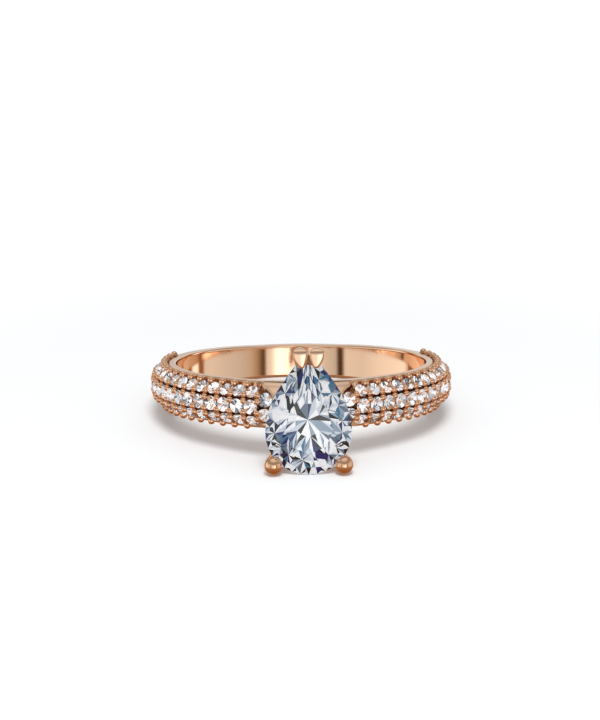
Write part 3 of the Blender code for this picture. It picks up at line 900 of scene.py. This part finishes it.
STONE = 0.93
SIDE_STONE = 0.84
ROW = DOME * math.radians(ROW_TILT)
ROWS = ((0, "middle", STONE), (1, "upper", SIDE_STONE), (-1, "lower", SIDE_STONE))
STONE_TURN = 0.3
CLOSING_COLUMN = -0.97
CLOSING_ACROSS = 0.5
for side, word in ((-1, "left"), (1, "right")):
    for row, place_word, size in ROWS:
        places = [
            seat_matrix(side * column_angle(number), row * ROW, 0.0, STONE_TURN * (number % 3))
            for number in range(COLUMNS)
        ]
        if row == 0:
            nodes = [f"pave_middle_{word}_{number + 1:02d}" for number in range(COLUMNS)]
        else:
            nodes = [f"pave_row_{place_word}_{word}"]
        made = copies(brilliant(size), places)
        paint_facet_reflections(made, PAVE_PAINTED_REFLECTIONS, 5 + 3 * side + row)
        finish(made, f"stones_{place_word}_{word}", pave_diamond, nodes)
    closing_angle = side * column_angle(CLOSING_COLUMN)
    places = [seat_matrix(closing_angle, across, 0.0) for across in (-CLOSING_ACROSS, CLOSING_ACROSS)]
    made = copies(brilliant(STONE), places)
    paint_facet_reflections(made, PAVE_PAINTED_REFLECTIONS, 10 + side)
    nodes = [f"pave_end_upper_{word}", f"pave_end_lower_{word}"]
    finish(made, f"stones_closing_{word}", pave_diamond, nodes)


# The centre stone.
# A pear-cut diamond: a table, a crown of star, kite and girdle facets, a polished girdle and a pavilion
# whose main facets meet at the culet.

TABLE_SCALE = 0.55
LONGEST_EDGES = (2.0, 1.5)  # pavilion edges over these are halved, in two rounds
MAIN_FACETS = 1.5  # distance from the culet within which facets are left whole
TIP_ZONE = 0.8
# The painted reflection of the claws' gold in the point of the pear.
PAINTED_CLAW_REFLECTION = (0.3, 0.13, 0.06, 1)


def ring_at(scale, out, steps, offset=0.0):
    """Corners round the pear at that scale, where offset shifts them by a share of a step."""
    fine = pear_outline(scale, steps * 4)
    count = len(fine)
    places = [fine[round((i + offset) * 4) % count] for i in range(2 * steps)]
    return [(x, -out, z) for x, z in places]


def pavilion_of(mesh):
    return [face for face in mesh.faces if face.normal.y > BACKWARD]


crown = TABLE_OUT - crown_out
depth = GIRDLE_OUT - CULET_OUT
# Each ring's scale, distance out from the finger hole's axis, steps and offset, from the table to the culet.
rings = (
    (TABLE_SCALE, TABLE_OUT, 4, 0.0),
    (0.8, crown_out + 0.56 * crown, 4, 0.5),
    (1.0, crown_out, 16, 0.0),
    (1.0, GIRDLE_OUT, 16, 0.0),
    (0.64, CULET_OUT + 0.6 * depth, 8, 0.5),
    (0.3, CULET_OUT + 0.26 * depth, 8, 0.5),
)
culet = Vector((0, -CULET_OUT, CULET_Z))
corners = [corner for ring in rings for corner in ring_at(*ring)]
pear = faceted(corners + [tuple(culet)])
mark_pavilion(pear, Vector((0, -1, 0)))
cut = bmesh.new()
cut.from_mesh(pear.data)
for longest in LONGEST_EDGES:
    edges = {edge for face in pavilion_of(cut) for edge in face.edges if edge.calc_length() > longest}
    bmesh.ops.subdivide_edges(cut, edges=list(edges), cuts=1)
    bmesh.ops.triangulate(cut, faces=cut.faces)
# The outer facets are split again round a point in the middle of each, but for the smallest third.
outer = [face for face in pavilion_of(cut) if (face.calc_center_median() - culet).length > MAIN_FACETS]
large = sorted(outer, key=lambda face: face.calc_area())[len(outer) // 3 :]
bmesh.ops.poke(cut, faces=large)
cut.to_mesh(pear.data)
cut.free()
# How common each painted reflection in the pear's pavilion is, and its colour.
PEAR_PAINTED_REFLECTIONS = (
    (0.38, (1.0, 1.0, 1.0)),
    (0.12, (0.62, 0.68, 0.75)),
    (0.09, (0.3, 0.38, 0.46)),
    (0.08, (0.12, 0.17, 0.23)),
    (0.07, (0.04, 0.16, 0.28)),
    (0.1, (0.01, 0.015, 0.12)),
    (0.16, (0.002, 0.002, 0.003)),
)
paint_facet_reflections(pear, PEAR_PAINTED_REFLECTIONS, 7)
# The point of the stone is painted with a reflection of the gold of the two claws over it; its crown facets
# there take the painted colour too.
for face in pear.data.polygons:
    if face.center.z > tip_z - TIP_ZONE:
        pear.data.attributes["facet_shade"].data[face.index].color = PAINTED_CLAW_REFLECTION
        pear.data.attributes["pavilion"].data[face.index].value = 1.0
finish(pear, "pear_diamond", diamond("centre_diamond", 0.4), ["centre_stone"])
